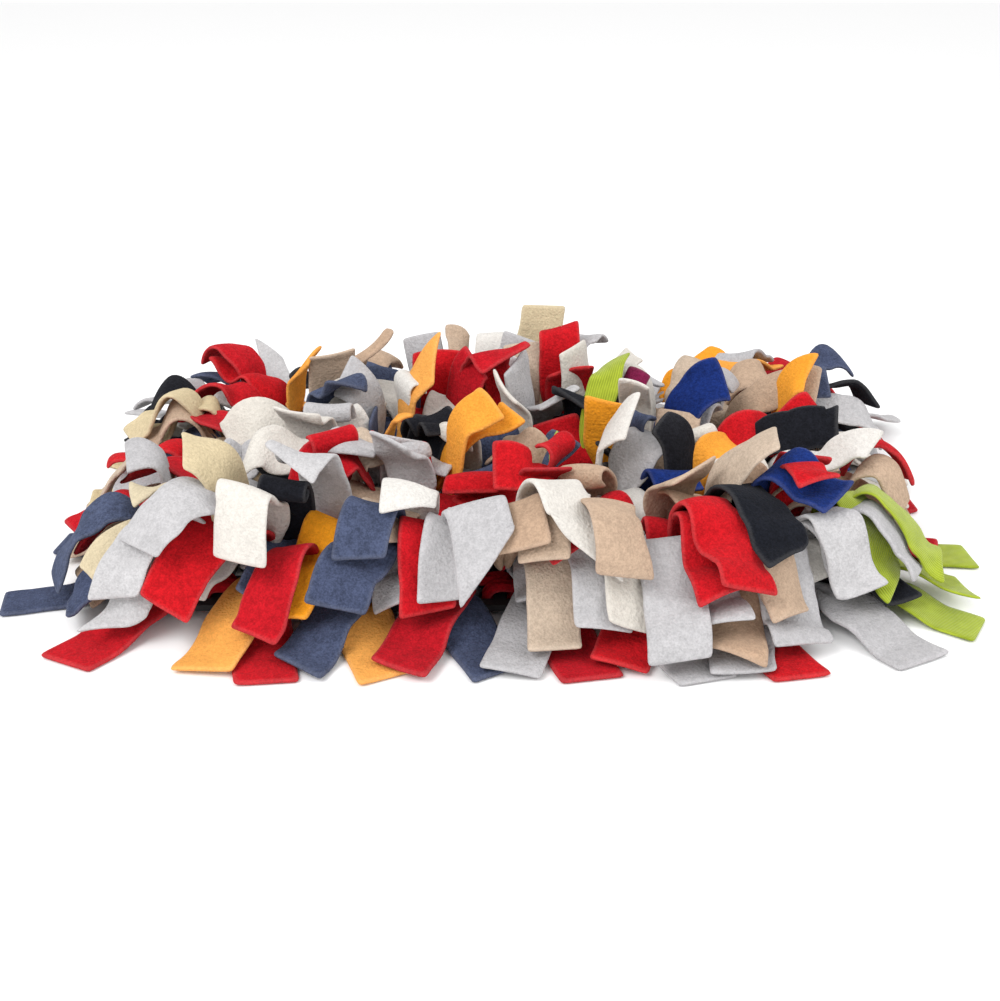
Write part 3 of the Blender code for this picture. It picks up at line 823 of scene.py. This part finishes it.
        ("red", 20, -40, -30, 66, 30, {"rise": 45, "hook": 24, "hookTurn": 190}),
        ("white", -20, -8, -140, 68, 32, {"rise": 50, "hook": 26, "hookTurn": -200}),
        ("light_grey", -64, -30, -60, 70, 32, {"rise": 50, "hook": 24, "hookTurn": -180}),
        ("red", -108, -50, -60, 72, 32, {"rise": 40, "hook": 22, "hookTurn": 170}),
        ("beige", 66, -50, -130, 70, 32, {"rise": 50, "hook": 26, "hookTurn": -190}),
        ("white", 120, 0, -50, 72, 32, {"rise": 50, "hook": 26, "hookTurn": -200}),
        ("slate", 90, -10, -150, 64, 28, {"rise": 45, "hook": 20, "hookTurn": 170}),
        ("light_grey", -110, 30, -100, 70, 32, {"rise": 50, "hook": 26, "hookTurn": -190}),
        ("white", -60, 50, -150, 68, 32, {"rise": 50, "hook": 24, "hookTurn": 180}),
        ("beige", -20, 90, -120, 66, 30, {"rise": 50, "hook": 20, "hookTurn": -180}),
    ],
    "middleRight": [
        ("white", 92, 28, -100, 74, 22, {"rise": 70, "over": 60}),
        ("plum", 84, 28, 55, 66, 17, {"rise": 50, "over": 60, "twist": 50}),
        ("light_grey", 122, 70, -4, 80, 29, {"rise": 40, "roll": 22}),
        ("navy", 116, 34, 12, 74, 34, {"rise": 66, "over": 60, "roll": 22}),
        ("slate", 168, 88, -6, 78, 28, {"rise": 35, "roll": 22}),
        ("beige", 158, 74, -12, 84, 31, {"rise": 35, "roll": 22}),
        ("mustard", 190, 58, -20, 64, 33, {"rise": 40, "roll": 22}),
        ("mustard", 126, -38, 48, 108, 21, {"rise": 35, "roll": 40}),
        ("red", 138, -18, 24, 112, 36, {"rise": 40, "over": 80, "roll": 22}),
        ("black", 158, -14, -8, 90, 31, {"rise": 40, "roll": 22}),
        ("white", 142, -22, -70, 68, 31, {"rise": 60, "over": 50}),
        ("white", 165, -32, -22, 94, 24, {"rise": 40, "roll": 22}),
        ("beige", 124, -70, -10, 82, 38, {"rise": 64, "over": 64, "fall": -70, "roll": 22}),
        ("red", 180, -56, -85, 62, 31, {"rise": 62, "over": 50, "tip": 6}),
    ],
    "front": [
        ("light_grey", -140, -110, -143, 118, 36, {"rise": 16}),
        ("white", -138, -108, -98, 118, 34, {"rise": 16, "cut": 6}),
        ("black", -122, -104, -88, 94, 28, {"rise": 40, "hook": 34, "hookTurn": -270}),
        ("light_grey", -100, -90, -112, 96, 38, {"rise": 16, "cut": 20}),
        ("white", -52, -100, -92, 86, 33, {"rise": 16}),
        ("beige", 2, -124, -80, 90, 33, {"rise": 16}),
        ("light_grey", -18, -126, -78, 102, 36, {"rise": 16, "cut": -48}),
        ("white", 22, -114, -66, 122, 36, {"rise": 16, "cut": 48}),
        ("light_grey", 95, -122, -87, 112, 36, {"rise": 16}),
        ("red", 112, -117, -80, 110, 34, {"rise": 16}),
        ("beige", 60, -124, -72, 112, 33, {"rise": 16, "bend": 30}),
        ("red", 108, -117, -70, 122, 36, {"rise": 16}),
        ("black", 128, -94, -66, 116, 38, {"rise": 16, "cut": -25}),
        ("navy", 150, -90, -38, 104, 36, {"rise": 16}),
        ("cream", -150, -74, -158, 92, 36, {"rise": 62, "over": 66, "fall": -70}),
    ],
    "top": [
        ("cream", -150, -112, 178, 86, 38, {"rise": 50, "over": 60, "fall": -75, "roll": -24}),
        ("beige", 122, -96, -5, 88, 38, {"rise": 62, "over": 62, "fall": -78, "roll": 14}),
        ("red", 172, -84, -78, 88, 28, {"rise": 50, "over": 44}),
        ("beige", 98, -84, -66, 70, 36, {"rise": 40, "cut": 0}),
        ("mustard", -34, -34, -4, 82, 28, {"rise": 35, "bend": 20, "roll": 30}),
        ("red", 20, -62, -62, 52, 32, {"rise": 50, "over": 40}),
        ("light_grey", -52, -56, -112, 76, 36, {"rise": 40, "cut": 20}),
    ],
}


def furtherStrips():
    groups = {}
    seed = 1000
    for name, rows in layers.items():
        for colour, x, y, heading, long, wide, ways in rows:
            seed += 1
            groups.setdefault(colour, []).append(layTail(seed, colour, x, y, heading, long, wide, **ways))
        print("laid", name, len(rows))
    for colour, bands in groups.items():
        thick = band["jerseyThick"] if colour == "lime" else band["thick"]
        piece = addCloth("laid_" + colour, bands, thick, cloths[colour])
        long = sum(one.along[-1] for one in bands)
        area = sum(one.along[-1] * one.full for one in bands)
        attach(piece, "root")
        area / long * mm
        long * mm
        print(colour, len(bands), "tails,", len(piece.data.polygons), "faces")


furtherStrips()


# floor, light and camera
studio = {"floor": 6.0, "world": 1.0, "key": 22.0, "fill": 9.0}


def addLight(name, at, towards, size, power):
    bpy.ops.object.light_add(type="AREA", location=at)
    lamp = bpy.context.object
    lamp.name = name
    lamp.data.size = size
    lamp.data.energy = power
    aim = np.array(towards) - np.array(at)
    lamp.rotation_euler = Vector(aim).to_track_quat("-Z", "Y").to_euler()


def makeStudio():
    bpy.ops.object.select_all(action="DESELECT")
    bpy.ops.mesh.primitive_plane_add(size=studio["floor"], location=(0, 0, 0))
    floor = bpy.context.object
    floor.name = "floor"
    material, shader, _ = newMaterial("white_paper", Roughness=0.9, Specular_IOR_Level=0.1)
    shader.inputs["Base Color"].default_value = (0.93, 0.93, 0.93, 1)
    floor.data.materials.append(material)
    world = bpy.data.worlds.new("studio")
    bpy.context.scene.world = world
    world.use_nodes = True
    world.node_tree.nodes["Background"].inputs["Color"].default_value = (1, 1, 1, 1)
    world.node_tree.nodes["Background"].inputs["Strength"].default_value = studio["world"]
    addLight("key", (-0.9, -1.0, 1.5), (0, 0, 0), 1.0, studio["key"])
    addLight("fill", (1.2, -0.6, 1.1), (0, 0, 0), 1.2, studio["fill"])
    bpy.ops.object.camera_add(location=(0, -0.84, 0.4245), rotation=(math.radians(64), 0, 0))
    camera = bpy.context.object
    camera.data.lens = 50
    camera.data.sensor_width = 36
    bpy.context.scene.camera = camera
    bpy.context.scene.view_settings.view_transform = "Standard"


makeStudio()
